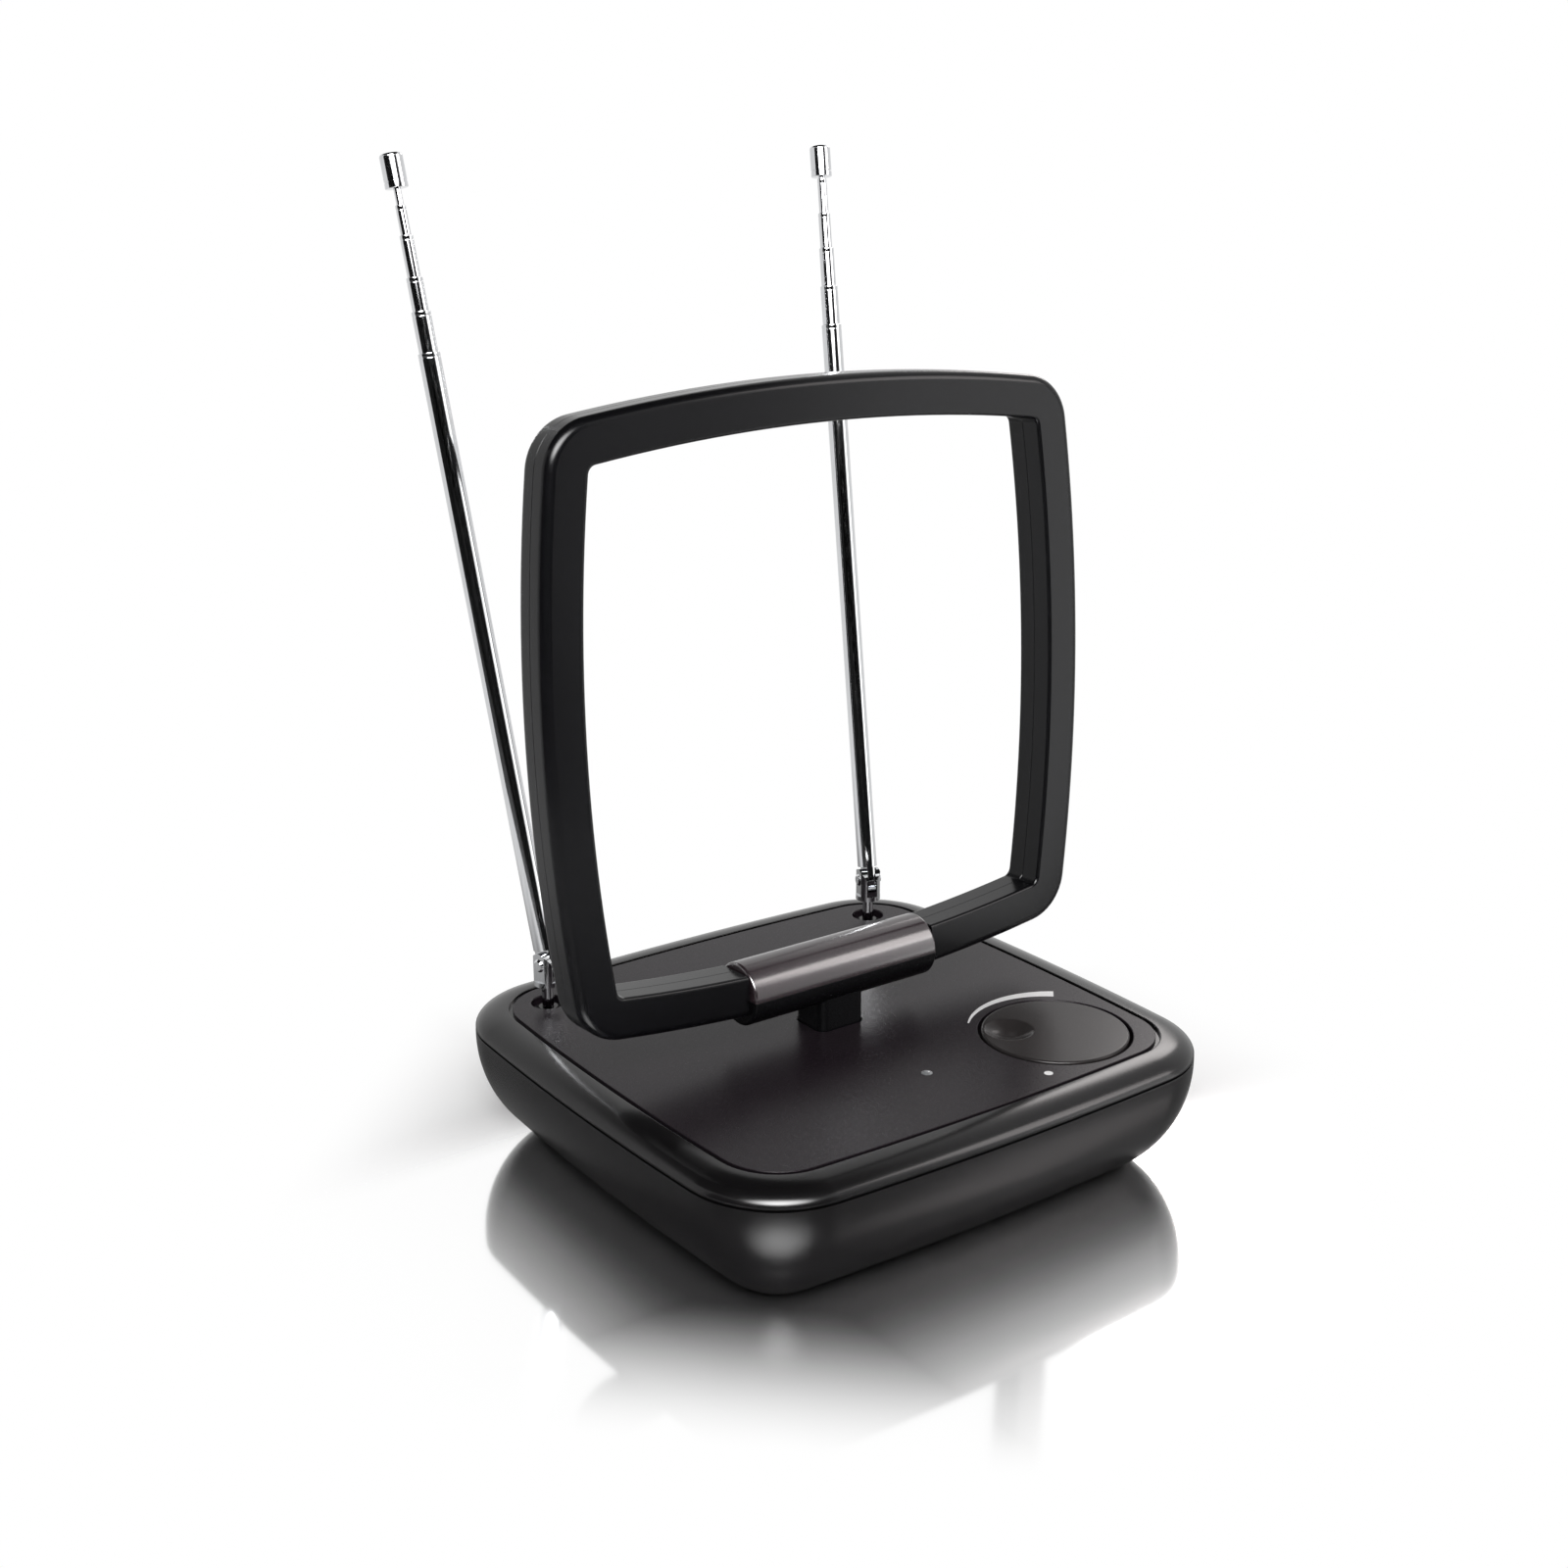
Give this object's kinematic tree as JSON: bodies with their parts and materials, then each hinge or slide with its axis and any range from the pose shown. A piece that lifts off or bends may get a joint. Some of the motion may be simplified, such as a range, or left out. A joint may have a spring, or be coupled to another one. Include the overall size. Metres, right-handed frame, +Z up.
{
  "type": "tv antenna",
  "caption": "Amplified indoor television aerial: rounded square base with gain dial, tilting square loop and telescopic swivelling rods.",
  "frame": {"origin": "on the table under the middle of the base, in the plane of the feet", "axes": "+Z up, +X to the right along the front edge, -Y to the front where the dial is, +Y to the rear sockets"},
  "size_m": [0.175, 0.1816, 0.2688],
  "materials": {
    "bowl": "glossy black moulded plastic",
    "cover": "satin charcoal moulded plastic",
    "dial": "matt charcoal plastic",
    "loop": "satin black moulded plastic",
    "hinge": "semi-gloss black moulded plastic",
    "light": "clear light pipe",
    "board": "glass-fibre circuit board",
    "tinplate": "tinned steel",
    "socket": "nickel-plated socket",
    "inner_plastic": "black plastic",
    "shaft": "turned steel",
    "aluminium": "flat aluminium strip",
    "lead": "insulated lead",
    "rubber": "black rubber",
    "chrome": "bright chrome plate",
    "bush": "black insulating plastic",
    "brass": "brass contact"
  },
  "bodies": {
    "base": {"ballast_plate": "tinplate", "board_screws": "tinplate", "bottom_housing": "bowl", "case_screws": "tinplate", "circuit_board": "board", "coax_socket": "socket", "foot_back_left": "rubber", "foot_back_right": "rubber", "foot_front_left": "rubber", "foot_front_right": "rubber", "gain_pot": "inner_plastic", "hinge_cap": "hinge", "hinge_cradle": "hinge", "hinge_screws": "tinplate", "left_rod_bush": "bush", "left_rod_feed_wire": "lead", "left_rod_tag": "brass", "loop_leads": "lead", "power_jack": "inner_plastic", "power_led": "light", "power_light": "light", "right_rod_bush": "bush", "right_rod_feed_wire": "lead", "right_rod_tag": "brass", "shield_can": "tinplate", "top_cover": "cover"},
    "dial": {"gain_dial": "dial", "gain_pot_shaft": "shaft"},
    "loop": {"loop_front": "loop", "loop_back": "loop", "loop_conductor": "aluminium"},
    "left_swivel": {"left_rod_swivel": "chrome", "left_rod_rivet": "chrome", "left_rod_clip": "brass"},
    "left_section_1": {"left_rod_knuckle": "chrome", "left_rod_tube_1": "chrome"},
    "left_section_2": {"left_rod_tube_2": "chrome"},
    "left_section_3": {"left_rod_tube_3": "chrome"},
    "left_section_4": {"left_rod_tube_4": "chrome"},
    "left_section_5": {"left_rod_tube_5": "chrome"},
    "left_tip": {"left_rod_tip": "chrome", "left_rod_cap": "chrome"},
    "right_swivel": {"right_rod_swivel": "chrome", "right_rod_rivet": "chrome", "right_rod_clip": "brass"},
    "right_section_1": {"right_rod_knuckle": "chrome", "right_rod_tube_1": "chrome"},
    "right_section_2": {"right_rod_tube_2": "chrome"},
    "right_section_3": {"right_rod_tube_3": "chrome"},
    "right_section_4": {"right_rod_tube_4": "chrome"},
    "right_section_5": {"right_rod_tube_5": "chrome"},
    "right_tip": {"right_rod_tip": "chrome", "right_rod_cap": "chrome"}
  },
  "joints": [
    {"name": "dial_turn", "type": "hinge", "parent": "base", "child": "dial", "pos_m": [0.045, -0.043, 0.038], "axis": [0, 0, 1], "range_deg": [-188, 82]},
    {"name": "loop_tilt", "type": "hinge", "parent": "base", "child": "loop", "pos_m": [0, 0, 0.0533], "axis": [1, 0, 0], "range_deg": [-20, 90]},
    {"name": "left_rod_swivel", "type": "hinge", "parent": "base", "child": "left_swivel", "pos_m": [-0.0575, 0.056, 0.038], "axis": [0, 0, 1], "continuous": true},
    {"name": "left_rod_tilt", "type": "hinge", "parent": "left_swivel", "child": "left_section_1", "pos_m": [-0.0575, 0.056, 0.05], "axis": [0.9598, 0.2807, 0], "range_deg": [-78, 12]},
    {"name": "left_section_2_slide", "type": "slide", "parent": "left_section_1", "child": "left_section_2", "axis": [-0.0584, 0.1996, 0.9781], "range_m": [-0.0108, 0.1325]},
    {"name": "left_section_3_slide", "type": "slide", "parent": "left_section_2", "child": "left_section_3", "axis": [-0.0584, 0.1996, 0.9781], "range_m": [-0.0087, 0.1331]},
    {"name": "left_section_4_slide", "type": "slide", "parent": "left_section_3", "child": "left_section_4", "axis": [-0.0584, 0.1996, 0.9781], "range_m": [-0.0108, 0.1295]},
    {"name": "left_section_5_slide", "type": "slide", "parent": "left_section_4", "child": "left_section_5", "axis": [-0.0584, 0.1996, 0.9781], "range_m": [-0.0076, 0.1312]},
    {"name": "left_tip_slide", "type": "slide", "parent": "left_section_5", "child": "left_tip", "axis": [-0.0584, 0.1996, 0.9781], "range_m": [-0.0041, 0.1332]},
    {"name": "right_rod_swivel", "type": "hinge", "parent": "base", "child": "right_swivel", "pos_m": [0.0575, 0.056, 0.038], "axis": [0, 0, 1], "continuous": true},
    {"name": "right_rod_tilt", "type": "hinge", "parent": "right_swivel", "child": "right_section_1", "pos_m": [0.0575, 0.056, 0.05], "axis": [0.9598, -0.2807, 0], "range_deg": [-78, 12]},
    {"name": "right_section_2_slide", "type": "slide", "parent": "right_section_1", "child": "right_section_2", "axis": [0.0584, 0.1996, 0.9781], "range_m": [-0.0113, 0.132]},
    {"name": "right_section_3_slide", "type": "slide", "parent": "right_section_2", "child": "right_section_3", "axis": [0.0584, 0.1996, 0.9781], "range_m": [-0.0111, 0.1307]},
    {"name": "right_section_4_slide", "type": "slide", "parent": "right_section_3", "child": "right_section_4", "axis": [0.0584, 0.1996, 0.9781], "range_m": [-0.0101, 0.1302]},
    {"name": "right_section_5_slide", "type": "slide", "parent": "right_section_4", "child": "right_section_5", "axis": [0.0584, 0.1996, 0.9781], "range_m": [-0.0099, 0.1289]},
    {"name": "right_tip_slide", "type": "slide", "parent": "right_section_5", "child": "right_tip", "axis": [0.0584, 0.1996, 0.9781], "range_m": [-0.0004, 0.1369]}
  ]
}
